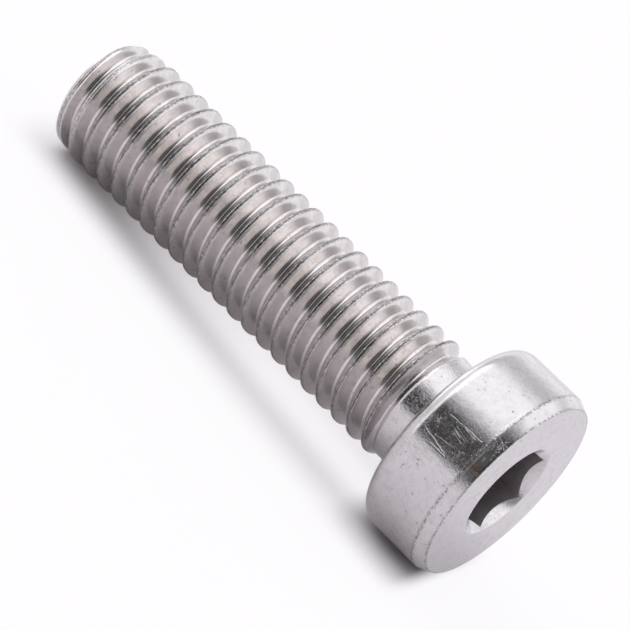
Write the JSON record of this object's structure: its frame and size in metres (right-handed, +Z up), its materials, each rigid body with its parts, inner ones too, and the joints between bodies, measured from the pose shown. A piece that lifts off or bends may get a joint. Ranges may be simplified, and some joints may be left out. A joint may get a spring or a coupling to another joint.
{
  "type": "hex socket cap screw",
  "caption": "Low cylindrical head with rounded bearing edge, chamfered top and hex socket, on a right-hand machine thread with a short plain neck.",
  "frame": {"origin": "centre of the ring under the head that bears on the clamped part", "axes": "+X along the screw towards the head, tipped about 5 degrees up because it lies on its head's rim and a thread crest; +Z up from the surface it lies on"},
  "size_m": [0.035, 0.0128, 0.013],
  "materials": {
    "steel": "bare stainless steel, tumbled smooth, with fine scratches"
  },
  "bodies": {
    "root": {"cap_screw": "steel"}
  },
  "joints": []
}
